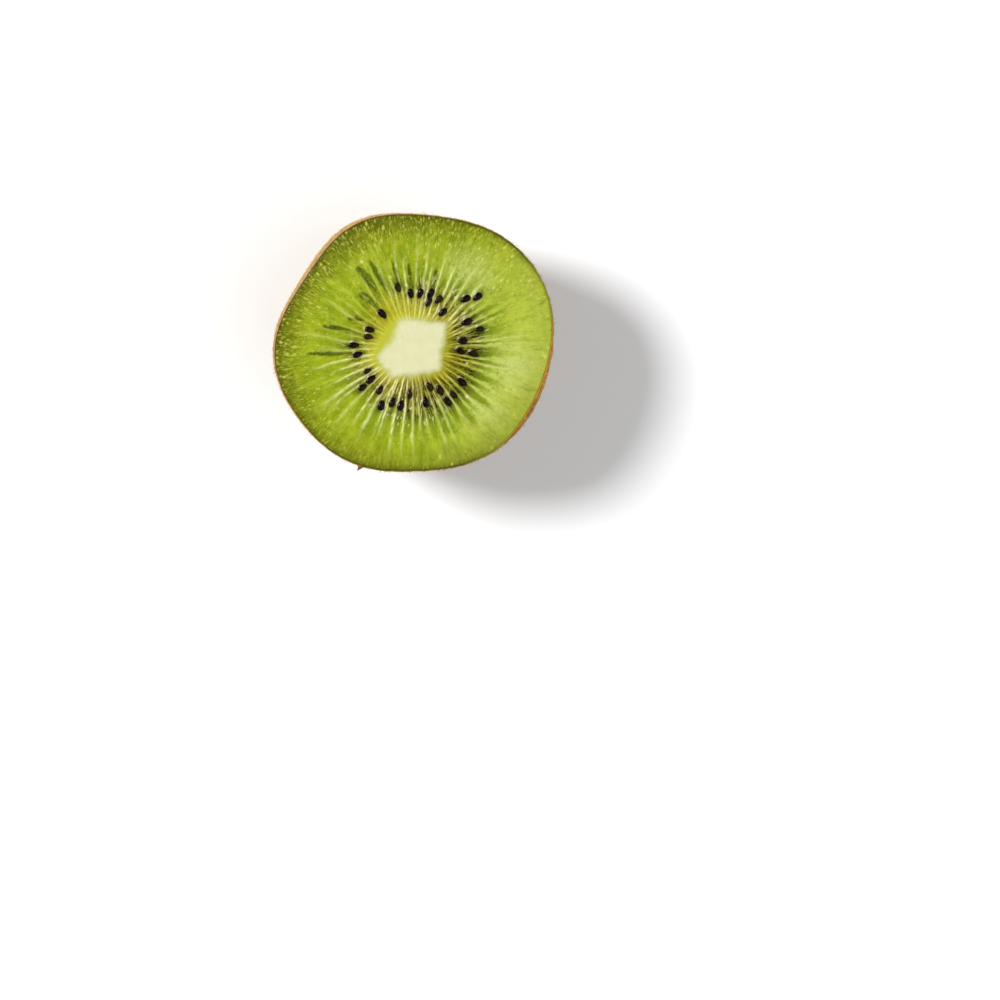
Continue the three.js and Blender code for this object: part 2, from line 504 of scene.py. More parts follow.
def hollow_masks(points, angle, distance):
    """The empty chambers, as lens-shaped streaks, and the lighter hearts of the wide ones."""
    ragged = 0.28 * noise(points, 0.8, 39)
    hollow, heart = np.zeros(distance.shape), np.zeros(distance.shape)
    for near_turn, far_turn, near, far, width in DARK_CHAMBERS:
        share = np.clip((distance - near) / (far - near), 0, 1)
        turn = np.radians(near_turn + (far_turn - near_turn) * share)
        half_width = width / 2 * np.sin(np.pi * share**1.4) ** 0.5 + 1e-3
        aside = np.abs(turn_between(angle, turn)) * distance / half_width + ragged
        ends = smooth_step(0.0, 0.7, share + 0.25) * smooth_step(1.0, 0.88, share)
        hollow = np.maximum(hollow, smooth_step(1.35, 0.6, aside) * ends)
        wide = smooth_step(0.9, 1.6, width)
        heart = np.maximum(heart, wide * smooth_step(0.9, 0.1, aside) * smooth_step(0.88, 0.6, share))
    return hollow, heart


def seed_shade(flat, ragged):
    """The dark bed round each seed."""
    mask = np.zeros(flat.shape[:-1])
    for direction, distance, _ in seed_places():
        along, across = along_and_across(flat - face_spot(direction, distance), direction)
        mask = np.maximum(mask, bump(np.hypot(along / 1.5, across) + ragged, 0.94))
    return mask


def seed_lip_glints(flat):
    """A painted highlight on the wet lip beside each seed, on the side that faces the key light."""
    random = np.random.default_rng(10)
    mask = np.zeros(flat.shape[:-1])
    for direction, distance, veil in seed_places():
        side = radians(LIP_GLINT_SIDE + random.uniform(-25, 25))
        strength = random.uniform(0.3, 1.1) * (1 - 0.6 * veil)
        along, across = unit(side - direction)
        to_edge = 1 / hypot(along / (SEED_LENGTH / 2), across / (SEED_WIDTH / 2))
        spot = face_spot(direction, distance) + (to_edge + LIP_GLINT_WIDTH / 2) * unit(side)
        outwards, sideways = along_and_across(flat - spot, side)
        lip = bump(np.hypot(outwards, sideways / LIP_GLINT_STRETCH), LIP_GLINT_WIDTH)
        mask = np.maximum(mask, strength * lip)
    return mask


def juice_drop_glints(flat):
    """Small drops of juice on the cut face, each a slight rise and a painted highlight."""
    drops = []
    for direction, distance, radius in JUICE_DROPS:
        _, away = polar(flat, face_spot(radians(direction), distance))
        drops.append(bump(away, radius))
    return DROP_GLINT_STRENGTH * np.max(drops, axis=0)


def core_fade(points):
    """How creamy the cut is about the core's edge. The cream runs out a little along each ray."""
    angle, distance = polar(points, CORE_CENTRE)
    nearest = np.min(np.abs(turn_between(angle[..., None], ray_directions())), axis=-1) * distance
    spike = 0.45 * bump(nearest, 0.3) * smooth_step(-0.3, 0.8, noise(points, 2.4, 28))
    edge = core_edge(angle) + along_ring(CREAM_REACH, angle)
    beyond = distance - edge - spike + 0.3 * noise(points, 0.9, 25)
    return smooth_step(0.85, -1.35, beyond)


def face_masks(points):
    """How much of each kind of flesh there is at points of the cut face, from 0 to 1."""
    flat = points[..., :2]
    angle, distance = polar(points, CORE_CENTRE)
    edge = core_edge(angle)
    turned = angle - ray_slant(angle, distance) + 0.025 * noise(points, 5.0, 21)
    rays = ray_directions()
    face_angle, from_middle = polar(points, FACE_CENTRE)
    to_rim = outline(face_angle) - from_middle
    near_seed = seed_shade(flat, 0.2 * noise(points, 0.8, 29))
    chamber = chamber_mask(points, turned, distance, edge, rays)
    hollow, heart = hollow_masks(points, angle, distance)
    return {
        "ray": ray_mask(points, turned, distance, edge, rays) * (1 - 0.75 * near_seed),
        "chamber": chamber,
        "wet": chamber * smooth_step(15.5, 12.0, distance),
        "hollow": hollow,
        "heart": heart,
        "near_seed": near_seed,
        # Where painted highlights go: the seeds' lips and the drops of juice, each also raised a little.
        "painted_glint_spots": np.maximum(seed_lip_glints(flat), juice_drop_glints(flat)),
        "inner": smooth_step(14.0, 8.5, distance + 1.2 * noise(points, 1.8, 24)),
        "halo": smooth_step(edge + 1.5, edge, distance + 0.25 * noise(points, 1.2, 26)),
        "cream": core_fade(points),
        "rim": smooth_step(6.5, 0.0, to_rim + 0.9 * noise(points, 3.0, 27)),
        # A thin band at the rim's edge, where a painted shade line goes.
        "edge_shade": smooth_step(1.6, 0.2, to_rim + 0.3 * noise(points, 1.5, 30)),
    }


def face_relief(points, masks):
    """Height of the cut flesh over its level, in millimetres."""
    wet = 0.09 * masks["wet"] * noise(points, 0.7, 34)
    raised = 0.12 * masks["ray"] + 0.04 * masks["painted_glint_spots"]
    drop = 0.13 * masks["chamber"] + 0.1 * masks["hollow"] + 0.08 * masks["near_seed"]
    return layered_noise(points, CUT_UNEVENNESS) + wet + raised - drop - 0.1 * masks["rim"] ** 4


# Pieces. An extra row just inside an edge keeps the cut's shading apart from that of the pocket.

FACE_COLUMNS = 820
FLESH_FACE_ROWS = 100
FLESH_SIDE_ROWS = 9
CORE_FACE_ROWS = 26
CORE_WALL_ROWS = 6
EDGE_SHARE = 0.001
SKIN_COLUMNS = 600
SKIN_ROWS = 96
SKIN_INNER_STEP = 19
UNDERSIDE_SHARES = [0.9, 0.75, 0.6, 0.45, 0.3, 0.15]


def flesh_side():
    """The flesh's hidden side, just inside the skin, as rows from the rim down."""
    side, outward = side_grid(full_turn(FACE_COLUMNS), np.linspace(0, 1, FLESH_SIDE_ROWS))
    side = side - outward * SKIN_THICKNESS
    side[0, :, 2] = CUT_LEVEL
    return side


def make_flesh():
    """The flesh: the cut face, the pocket that holds the core, and the hidden side."""
    side = flesh_side()
    rim = side[0]
    angle, _ = polar(rim, CORE_CENTRE)

    wall = [core_section(angle, down) for down in np.linspace(1, 0, CORE_WALL_ROWS + 1)[:-1]]
    floor = disc_rows(wall[0], [0.3])
    inner = core_section(angle, 0.0)
    shares = np.insert(np.linspace(0, 1, FLESH_FACE_ROWS) ** 1.15, 1, EDGE_SHARE)
    face = inner + (rim - inner) * shares[:, None, None]
    masks = face_masks(face)
    face[..., 2] += face_relief(face, masks)

    rows = [*floor, *wall, *face, *side[1:], *disc_rows(side[-1], [0.6, 0.2])]
    before = len(floor) + len(wall)
    after = len(rows) - before - len(face)
    padded = {name: np.pad(mask, ((before, after), (0, 0)), mode="edge") for name, mask in masks.items()}
    return closed_grid("cut_flesh", rows, padded)


def make_core():
    """The core. It fills its pocket, and its cut is level with the flesh."""
    angle, _ = polar(flesh_side()[0], CORE_CENTRE)
    shares = np.insert(np.linspace(0.02, 1, CORE_FACE_ROWS) ** 0.8, -1, 1 - 3 * EDGE_SHARE)
    top = disc_rows(core_section(angle, 0.0), shares)
    cream = core_fade(top)
    top[..., 2] += layered_noise(top, CUT_UNEVENNESS)
    sides = [core_section(angle, down) for down in np.linspace(0, 1, CORE_WALL_ROWS)[1:]]
    rows = [*top, *sides, *disc_rows(sides[-1], [0.05])]
    padded = np.pad(cream, ((0, len(rows) - len(top)), (0, 0)), mode="edge")
    return closed_grid("pale_core", rows, {"cream": padded})


def seed_form(random, number, veil):
    """Rows of points of one seed: a wrinkled drop, smaller where it is veiled, with its point at -X."""
    grown = random.uniform(0.88, 1.06) * (1 - 0.22 * veil)
    around = -full_turn(SEED_SIDES)
    lengthwise = np.linspace(0, np.pi, SEED_RINGS + 2)[1:-1, None]
    x = np.cos(lengthwise) + 0 * around
    girth = np.sin(lengthwise) ** 0.9 * (1 + 0.22 * x) * random.uniform(0.86, 1.04)
    y = girth * np.cos(around)
    z = girth * np.sin(around) * SEED_HEIGHT
    drop = np.stack([x * SEED_LENGTH / 2 * grown, y * SEED_WIDTH / 2 * grown, z], axis=-1)
    return drop * (1 + 0.035 * noise(drop + number * 9, 0.5, 61)[..., None])


def make_seeds():
    """All the seeds, with their points towards the core. A veiled seed lies deeper."""
    points, faces, veils = [], [], []
    size = SEED_RINGS * SEED_SIDES + 2
    for number, (direction, distance, veil) in enumerate(seed_places()):
        random = np.random.default_rng(100 + number)
        drop = seed_form(random, number, veil)
        twist = direction + random.uniform(-SEED_TWIST_RADIANS, SEED_TWIST_RADIANS)
        drop = drop @ np.array(Matrix.Rotation(twist, 3, "Z")).T
        drop += (*face_spot(direction, distance), CUT_LEVEL - SEED_SINKS - VEIL_SINKS * veil)
        points.append(closed_points(drop))
        faces += closed_faces(SEED_RINGS, SEED_SIDES, number * size)
        veils += [veil] * size
    return new_piece("seeds", np.concatenate(points), faces, {"veil": veils})


def skin_wrinkles(points):
    """How far the skin's fine wrinkles stand out at points on the fruit's side."""
    lengthwise = 0.03 * noise(points * (1, 1, 0.4), 0.8, 73)
    return layered_noise(points, SKIN_WRINKLES) + lengthwise


def make_skin():
    """The skin: a thin shell with a lumpy, finely wrinkled outside and a cut edge at the rim."""
    along = np.linspace(0, 1, SKIN_ROWS)
    base, outward = side_grid(full_turn(SKIN_COLUMNS), along)
    fade = np.sin(np.pi * np.clip(along * 1.04, 0, 1))[:, None] ** 0.4
    outer = base + outward * (skin_wrinkles(base) * fade)[..., None]
    outer[-1, :, 2] = 0

    inner = (base - outward * (SKIN_THICKNESS - 0.02))[::SKIN_INNER_STEP]
    inner[0, :, 2] = CUT_LEVEL - 0.12
    inner = inner[::-1]
    ragged = layered_noise(outer[0], RIM_RAGGEDNESS)
    rim = np.stack([inner[-1] + (outer[0] - inner[-1]) * share for share in (0.3, 0.75)])
    rim[..., 2] = CUT_LEVEL + ragged
    rim[1, :, 2] += 0.02
    outer[0, :, 2] = CUT_LEVEL - 0.08 + ragged

    floor = disc_rows(inner[0], [0.3, 0.9])
    under = disc_rows(outer[-1], UNDERSIDE_SHARES)
    rows = [*floor, *inner, *rim, *outer, *under]
    inner_along = along[::SKIN_INNER_STEP][::-1]
    down = [*np.ones(len(floor)), *inner_along, *np.zeros(len(rim)), *along, *np.ones(len(under))]
    cut = np.zeros(len(rows))
    first_rim = len(floor) + len(inner)
    first_outer = first_rim + len(rim)
    cut[first_rim:first_outer] = 1
    cut[first_outer : first_outer + len(outer)] = smooth_step(0.012, 0.0, along)
    return closed_grid("skin", rows, {"down": np.array(down)[:, None], "cut": cut[:, None]})


def make_skin_point():
    """The small torn point of skin that sticks out at the rim."""
    around = full_turn(16)
    angle = radians(SKIN_POINT_DIRECTION)
    rows = []
    for out, width, sunk in SKIN_POINT_SECTIONS:
        reach = outline(angle) + out * SKIN_POINT_LENGTH
        across = np.cos(around) * SKIN_POINT_WIDTH / 2 * width - 0.25 * out
        height = np.sin(around) * SKIN_POINT_WIDTH / 3 * width
        x = FACE_CENTRE[0] + reach * cos(angle) - across * sin(angle)
        y = FACE_CENTRE[1] + reach * sin(angle) + across * cos(angle)
        rows.append(np.stack([x, y, CUT_LEVEL - 0.5 - sunk + height], axis=-1))
    rows = np.array(rows)
    rows += 0.09 * np.stack([noise(rows, 0.4, seed) for seed in (81, 82, 83)], axis=-1)
    return closed_grid("skin_point", rows, {"down": 1.0, "cut": 0.0})


# Hairs


def hair_roots(random, count, end):
    """Places on the side, down to a share of it, with the outward normal and the way down at each."""
    angles = full_turn(360)
    grid, outward = side_grid(angles, np.linspace(0, end, 160))
    down_it = np.gradient(grid, axis=0)
    round_it = np.roll(grid, -1, axis=1) - grid
    facing_light = smooth_step(-0.3, 0.9, np.cos(angles - radians(LIT_DIRECTION)))
    area = np.linalg.norm(np.cross(down_it, round_it), axis=-1) * (1 - HAIR_THINNING * facing_light)
    chosen = random.choice(area.size, count, p=area.ravel() / area.sum())
    cell = np.unravel_index(chosen, area.shape)
    root = grid[cell] + down_it[cell] * random.uniform(-0.5, 0.5, (count, 1))
    root += round_it[cell] * random.uniform(-0.5, 0.5, (count, 1))
    root[:, 2] = np.clip(root[:, 2], 0.1, CUT_LEVEL - 0.1)
    downward = down_it[cell] / np.linalg.norm(down_it[cell], axis=1, keepdims=True)
    return root, outward[cell], downward


def hair_ring(middle, forward, normal, thick):
    """Three points round each hair, square to the way it runs."""
    across = np.cross(forward, normal)
    across /= np.linalg.norm(across, axis=1, keepdims=True)
    over = np.cross(across, forward)
    turns = np.radians((90, 210, 330))
    return np.stack([middle + thick * (cos(t) * across + sin(t) * over) for t in turns], axis=1)


def hair_faces(segments):
    """Faces of one hair: its root, three sides for each segment, and its tip."""
    sides = ((0, 1), (1, 2), (2, 0))
    faces = [[0, 2, 1]]
    last = 3 * (segments - 1)
    for base in range(0, last, 3):
        for a, b in sides:
            faces += [[base + a, base + b, base + b + 3], [base + a, base + b + 3, base + a + 3]]
    return faces + [[last + a, last + b, last + 3] for a, b in sides]


def make_hairs(name, seed, count, segments, length, width, lift, curl, end=HAIRS_END):
    """One kind of hair. Each is a thin three-sided blade that leaves the skin at a slant, bends over
    and ends in a point."""
    random = np.random.default_rng(seed)
    root, normal, downward = hair_roots(random, count, end)
    sideways = np.cross(normal, downward)
    heading = random.normal(0.0, HAIR_SCATTER, count) + HAIR_SWIRL * noise(root, 8.0, 91)
    turning = np.radians(random.normal(0, curl, count))
    phase = random.uniform(0, 2 * np.pi, count)
    step = random.uniform(*length, count)[:, None] / segments
    girth = random.uniform(0.75, 1.2, (segments + 1, count, 1))

    place = root - normal * HAIR_ROOT_DEPTH
    rings = []
    for segment in range(segments + 1):
        share = segment / segments
        rise = radians(lift[0] + (lift[1] - lift[0]) * share)
        course = heading + turning * share + HAIR_WAVE * np.sin(2 * np.pi * share + phase)
        flat = downward * np.cos(course)[:, None] + sideways * np.sin(course)[:, None]
        forward = flat * cos(rise) + normal * sin(rise)
        middle = place + normal * (skin_wrinkles(place) + HAIR_ROOT_DEPTH)[:, None]
        thick = width / 2 * (1 - 0.55 * share) * girth[segment]
        at_tip = segment == segments
        rings.append(middle[:, None] if at_tip else hair_ring(middle, forward, normal, thick))
        place = place + forward * step
    points = np.concatenate(rings, axis=1)
    points[..., 2] = np.maximum(points[..., 2], 0.02)

    size = points.shape[1]
    faces = (np.array(hair_faces(segments))[None] + (np.arange(count) * size)[:, None, None]).reshape(-1, 3)
    tone = np.repeat(random.uniform(0, 1, count), size)
    growth = np.tile(np.repeat(np.linspace(0, 1, segments + 1), [3] * segments + [1]), count)
    return new_piece(name, points.reshape(-1, 3), faces.tolist(), {"tone": tone, "growth": growth})


# Material helpers


def srgb(red, green, blue):
    """A colour as it shows on a screen, from 0 to 255, as the linear colour that shaders take."""
    channels = [c / 255 for c in (red, green, blue)]
    return [c / 12.92 if c <= 0.04045 else ((c + 0.055) / 1.055) ** 2.4 for c in channels] + [1.0]


class Graph:
    """A material's node graph, with a short way to add each kind of node. Its colour is laid on in
    coats, and a colour of three numbers is as it shows on a screen, from 0 to 255."""

    def __init__(self, name):
        self.material = bpy.data.materials.new(name)
        self.material.use_nodes = True
        self.tree = self.material.node_tree
        self.shader = self.tree.nodes["Principled BSDF"]
        self.colour = None
        self.place = self.vector("MULTIPLY", self.add("TexCoord").outputs["Object"], [1 / MM] * 3)

    def add(self, kind, *values, **settings):
        """Adds a node and feeds its first sockets in order."""
        node = self.tree.nodes.new("ShaderNode" + kind)
        for name, value in settings.items():
            setattr(node, name, value)
        for socket, value in zip(node.inputs, values):
            self.feed(socket, value)
        return node

    def feed(self, socket, value):
        """Links a socket to another, or sets it to a plain value."""
        if isinstance(value, bpy.types.NodeSocket):
            self.tree.links.new(value, socket)
        else:
            socket.default_value = value

    def set(self, **values):
        """Sets the shader's own sockets, named as they are with _ for a space."""
        for name, value in values.items():
            self.feed(self.shader.inputs[name.replace("_", " ")], value)

    def vector(self, operation, *values, output="Vector"):
        return self.add("VectorMath", *values, operation=operation).outputs[output]

    def math(self, operation, *values):
        return self.add("Math", *values, operation=operation).outputs["Value"]

    def times(self, product, *others):
        for other in others:
            product = self.math("MULTIPLY", product, other)
        return product

    def most(self, largest, *others):
        for other in others:
            largest = self.math("MAXIMUM", largest, other)
        return largest

    def mask(self, name):
        return self.add("Attribute", attribute_name=name).outputs["Fac"]

    def ramp(self, value, low, high, to_low=0.0, to_high=1.0):
        """Takes low to to_low and high to to_high, smoothly, and holds them outside."""
        node = self.add("MapRange", value, low, high, to_low, to_high, interpolation_type="SMOOTHSTEP")
        return node.outputs["Result"]

    def noise(self, vector, scale, detail=2.0, roughness=0.5):
        return self.add("TexNoise", vector, 0, scale, detail, roughness).outputs["Fac"]

    def cells(self, vector, scale):
        """How far the nearest cell's middle is, and a random number for that cell."""
        node = self.add("TexVoronoi", vector, 0, scale)
        return node.outputs["Distance"], self.add("SeparateColor", node.outputs["Color"]).outputs["Red"]

    def towards(self, direction):
        """How far a point lies from the part's middle towards a direction."""
        return self.vector("DOT_PRODUCT", self.place, (*unit(radians(direction)), 0), output="Value")

    def mix(self, amount, first, second):
        node = self.add("Mix", data_type="RGBA")
        sockets = {socket.identifier: socket for socket in (*node.inputs, *node.outputs)}
        self.feed(sockets["Factor_Float"], amount)
        for name, colour in (("A_Color", first), ("B_Color", second)):
            self.feed(sockets[name], srgb(*colour) if isinstance(colour, tuple) else colour)
        return sockets["Result_Color"]

    def coat(self, amount, colour):
        """Lays a colour over the ones so far."""
        self.colour = self.mix(amount, self.colour, colour)

    def bump(self, height, distance):
        node = self.add("Bump", 1.0, distance * MM)
        self.feed(node.inputs["Height"], height)
        self.set(Normal=node.outputs["Normal"])

    def finish(self):
        """Gives the coats of colour to the shader."""
        self.set(Base_Color=self.colour)
        return self.material


class FleshGraph(Graph):
    """A graph with what the layers of the cut flesh share."""

    def __init__(self):
        super().__init__("flesh")
        away = self.vector("SUBTRACT", self.place, (*CORE_CENTRE, 0))
        away = self.vector("MULTIPLY", away, (1, 1, 0))
        self.distance = self.vector("LENGTH", away, output="Value")
        self.direction = self.vector("NORMALIZE", away)
        self.streaks = self.fibre_noise(20, 0.22, 3.0, 0.6)
        self.threads = self.fibre_noise(52, 0.8, 3.0, 0.6)
        self.brushed = self.fibre_noise(78, 1.0, 2.0, 0.6)
        self.grain = self.noise(self.place, 2.2, 3.0, 0.65)
        self.outer = self.ramp(self.distance, 15.0, 23.0)
        # Paler rays towards the upper right and lower left: partly their own cream colour, partly painted
        # sheen where the wet rays catch the light.
        self.paleness_and_sheen = self.ramp(self.math("ABSOLUTE", self.towards(56)), 2.5, 9.0)

    def fibres(self, across, lengthwise):
        """Coordinates that stretch a pattern out along the rays."""
        around = self.vector("MULTIPLY", self.direction, (across, across, 0))
        outwards = self.add("CombineXYZ", 0, 0, self.times(self.distance, lengthwise))
        return self.vector("ADD", around, outwards.outputs["Vector"])

    def fibre_noise(self, across, lengthwise, detail, roughness):
        return self.noise(self.fibres(across, lengthwise), 1.0, detail, roughness)

    def near(self, direction, reach, radius):
        """1 at a spot on the face, falling to 0 at a radius from it."""
        spot = (*(reach * unit(radians(direction))), CUT_LEVEL)
        return self.ramp(self.vector("DISTANCE", self.place, spot, output="Value"), radius, 0.0)

    def spots(self, vector, scale, commonness):
        """Small specks. A higher commonness gives more of them."""
        spot, chance = self.cells(vector, scale)
        picked = self.ramp(self.math("ADD", chance, commonness), 0.98, 1.02)
        return self.times(self.ramp(spot, 0.4, 0.16), picked)


# Layers of the cut flesh, from the ground up

CORE_CREAM = (215, 214, 165)


def green_ground(g):
    blotches = g.noise(g.place, 0.3, 3.0, 0.55)
    g.colour = g.mix(g.ramp(blotches, 0.3, 0.7), (134, 152, 6), (158, 172, 20))
    # Painted sheen: paler towards the right, where the wet face catches a broad reflection of the light.
    g.coat(g.ramp(g.towards(-14), 4, 24, 0.0, 0.75), (186, 198, 76))
    g.coat(g.ramp(g.streaks, 0.48, 0.72, 0.0, 0.6), (184, 196, 62))
    g.coat(g.ramp(g.threads, 0.45, 0.75, 0.0, 0.35), (184, 194, 64))
    g.coat(g.ramp(g.threads, 0.5, 0.25, 0.0, 0.35), (110, 128, 2))
    g.coat(g.ramp(g.noise(g.place, 0.85, 2.0, 0.6), 0.5, 0.25, 0.0, 0.35), (124, 142, 4))
    g.coat(g.ramp(g.streaks, 0.48, 0.26, 0.0, 0.45), (104, 124, 2))


def painted_sheen_and_mottles(g):
    # Pale patches of painted sheen on the wet face, then a ring of dark mottles.
    painted_sheen = g.most(g.near(54, 18, 8.5), g.near(-14, 20.5, 9.5), g.times(g.near(-42, 19.5, 8), 0.8))
    painted_sheen = g.times(painted_sheen, g.ramp(g.streaks, 0.35, 0.65, 0.3, 0.8))
    g.coat(g.times(painted_sheen, g.ramp(g.grain, 0.35, 0.6, 0.55, 1.0)), (198, 206, 124))
    ring = g.times(g.ramp(g.distance, 12, 15), g.ramp(g.distance, 22, 18))
    mottles = g.ramp(g.noise(g.place, 1.7, 2.0, 0.6), 0.5, 0.32, 0.0, 0.5)
    g.coat(g.times(ring, mottles), (108, 126, 0))


def rim_shade_and_streaks(g):
    # Painted shade along the rim, strongest at the upper left where the skin shades the flesh, and a thin
    # painted shade line at the cut edge; then coarse dark and pale streaks near the rim.
    rim_shade = g.times(g.mask("rim"), g.ramp(g.towards(195), -25, -7, 0.2, 1.0))
    rim_shade = g.times(rim_shade, g.ramp(g.towards(265), 2, 22, 1.0, 0.55))
    g.coat(g.times(rim_shade, 0.84), (84, 86, 0))
    g.coat(g.times(g.mask("edge_shade"), g.ramp(g.towards(-14), 16, 24, 0.6, 0.0)), (84, 84, 0))
    coarse = g.times(g.outer, g.ramp(rim_shade, 0.0, 0.5, 0.3, 1.0), g.ramp(g.towards(130), -20, 8, 0.3, 1.0))
    g.coat(g.times(g.ramp(g.brushed, 0.5, 0.32, 0.0, 0.6), coarse), (70, 80, 0))
    g.coat(g.times(g.ramp(g.brushed, 0.52, 0.7, 0.0, 0.7), coarse), (186, 196, 58))


def seed_zone(g):
    inner, chamber = g.mask("inner"), g.mask("chamber")
    upper_left = g.ramp(g.towards(135), -6, 7)
    g.coat(g.times(inner, 0.85), g.mix(upper_left, (162, 150, 22), (200, 198, 52)))

    least_dark = g.ramp(g.distance, 12, 15.5, 0.35, 0.85)
    dark = g.times(chamber, g.ramp(g.grain, 0.38, 0.7, 1.0, least_dark))
    dark = g.times(dark, g.ramp(g.times(inner, upper_left), 0.0, 1.0, 0.94, 0.55))
    deep = g.mix(g.ramp(g.distance, 13.0, 16.8), (46, 56, 0), (112, 134, 2))
    g.coat(dark, g.mix(inner, deep, (56, 42, 0)))

    pits = g.times(g.ramp(g.fibre_noise(34, 1.1, 2.0, 0.6), 0.48, 0.57), chamber)
    g.coat(g.times(pits, g.ramp(g.distance, 15.5, 12.5), 0.92), (18, 12, 0))
    lines = g.ramp(g.fibre_noise(64, 0.35, 1.0, 0.5), 0.52, 0.62, 0.0, 0.75)
    fine_rays = g.times(g.most(chamber, inner), lines, g.ramp(g.distance, 15.5, 11.0, 0.25, 1.0))
    g.coat(fine_rays, g.mix(g.paleness_and_sheen, (168, 162, 28), (200, 194, 88)))


def hollows_and_beds(g):
    wall = g.mix(g.ramp(g.grain, 0.35, 0.65), (44, 56, 0), (80, 98, 0))
    heart = g.mix(g.ramp(g.brushed, 0.35, 0.65), (66, 84, 0), (118, 138, 6))
    hollow = g.times(g.mask("hollow"), g.ramp(g.brushed, 0.35, 0.65, 0.95, 0.8))
    g.coat(hollow, g.mix(g.mask("heart"), wall, heart))
    g.coat(g.times(g.mask("near_seed"), 0.95), (16, 10, 0))


def halo_colour(g):
    """The yellow-green that the core fades to, darker at the lower right."""
    return g.mix(g.ramp(g.towards(135), -7, 7), (159, 157, 32), (185, 187, 52))


def core_border(g):
    g.coat(g.mask("halo"), halo_colour(g))
    furrows = g.ramp(g.fibre_noise(25, 0.3, 2.0, 0.6), 0.53, 0.4, 0.0, 0.65)
    furrows = g.times(furrows, g.ramp(g.towards(-25), -4, 4), g.ramp(g.distance, 11.0, 8.5))
    g.coat(furrows, (108, 100, 4))


def pale_rays(g):
    near_core = g.mix(g.paleness_and_sheen, (208, 203, 88), (236, 229, 158))
    colour = g.mix(g.ramp(g.distance, 10, 17), near_core, (198, 209, 116))
    g.coat(g.times(g.mask("ray"), 0.95), colour)


def pale_flecks(g):
    """Flecks in the outer flesh, more of them in the upper half. Gives back how strong they are."""
    upper = g.ramp(g.towards(105), -16, 16)
    clumps = g.ramp(g.noise(g.place, 0.55, 2.0), 0.35, 0.62, 0.35, 1.0)
    commonness = g.times(g.outer, clumps, g.ramp(upper, 0.0, 1.0, 0.11, 0.46))
    long_flecks = g.spots(g.fibres(34, 0.75), 1.0, commonness)
    round_flecks = g.spots(g.place, 2.2, commonness)
    large_flecks = g.spots(g.fibres(24, 0.5), 1.0, g.times(commonness, 0.35))
    fleck = g.most(long_flecks, round_flecks, large_flecks)
    fleck = g.times(fleck, g.ramp(g.brushed, 0.35, 0.62, 0.2, 0.75))
    g.coat(fleck, (212, 212, 104))
    return fleck


def painted_wet_glints(g):
    """Painted glints at the lower left and upper right, and painted highlights on the seeds' lips and the
    drops of juice.
    """
    side = g.most(g.ramp(g.towards(228), 3, 12), g.ramp(g.towards(62), 3, 12), g.mask("hollow"))
    glint = g.ramp(g.fibre_noise(36, 0.85, 0.0, 0.5), 0.645, 0.74)
    where = g.math("MINIMUM", g.most(g.mask("chamber"), g.mask("ray")), 1.0)
    glint = g.times(glint, side, where, g.ramp(g.distance, 18.0, 14.0))
    g.coat(g.times(glint, 0.8), (230, 227, 168))
    # Painted highlights on the seeds' lips and the drops of juice.
    g.coat(g.mask("painted_glint_spots"), (232, 228, 182))


def wet_finish(g, fleck):
    """Gloss where the cut is wet, and a small relief of threads, droplets and flecks."""
    wet = g.most(g.mask("wet"), g.times(g.mask("ray"), 0.4))
    g.set(Roughness=g.ramp(wet, 0.0, 0.8, 0.34, 0.18), IOR=1.36)
    g.set(Specular_IOR_Level=g.ramp(g.distance, 12.5, 17.5, 0.11, 0.22))
    g.set(Subsurface_Weight=0.15, Subsurface_Radius=(1.0, 0.85, 0.25), Subsurface_Scale=0.5 * MM)
    droplets = g.times(g.noise(g.place, 2.6, 1.0), g.ramp(wet, 0.0, 0.7, 0.25, 1.1))
    height = g.math("ADD", g.times(g.threads, 0.5), droplets)
    g.bump(g.math("ADD", height, g.times(fleck, 0.4)), 0.16)


# Materials


def flesh_material():
    """Wet green flesh, with painted shade at the rim and painted sheen and glints."""
    g = FleshGraph()
    green_ground(g)
    painted_sheen_and_mottles(g)
    rim_shade_and_streaks(g)
    seed_zone(g)
    hollows_and_beds(g)
    core_border(g)
    pale_rays(g)
    fleck = pale_flecks(g)
    painted_wet_glints(g)
    g.coat(g.mask("cream"), CORE_CREAM)
    wet_finish(g, fleck)
    return g.finish()


def core_material():
    """The pale, faintly mottled core, which fades to yellow-green at its edge."""
    g = Graph("core")
    mottle = g.noise(g.place, 0.5, 4.0, 0.6)
    grain = g.noise(g.place, 3.0, 2.0, 0.6)
    g.colour = g.mix(g.ramp(mottle, 0.3, 0.7), CORE_CREAM, (219, 219, 176))
    g.coat(g.ramp(grain, 0.45, 0.8, 0.0, 0.3), (206, 206, 148))
    g.colour = g.mix(g.mask("cream"), halo_colour(g), g.colour)
    g.set(Roughness=g.ramp(grain, 0.3, 0.7, 0.34, 0.5), IOR=1.36)
    g.set(Subsurface_Weight=0.1, Subsurface_Radius=(1.0, 0.9, 0.5), Subsurface_Scale=0.5 * MM)
    g.bump(grain, 0.06)
    return g.finish()


def seed_material():
    """Glossy black-brown seeds. Where a seed is veiled, the flesh's colour shows over it."""
    g = Graph("seed")
    patches = g.noise(g.place, 1.4, 2.0)
    g.colour = g.mix(g.ramp(patches, 0.35, 0.7), (8, 0, 2), (26, 10, 6))
    veil = g.times(g.mask("veil"), g.ramp(g.noise(g.place, 1.2, 1.0), 0.35, 0.65, 0.5, 1.6))
    g.coat(veil, (48, 38, 0))
    g.set(Roughness=g.ramp(patches, 0.3, 0.7, 0.1, 0.18), IOR=1.4, Specular_IOR_Level=0.18)
    g.bump(g.noise(g.place, 5.0, 2.0), 0.04)
    return g.finish()


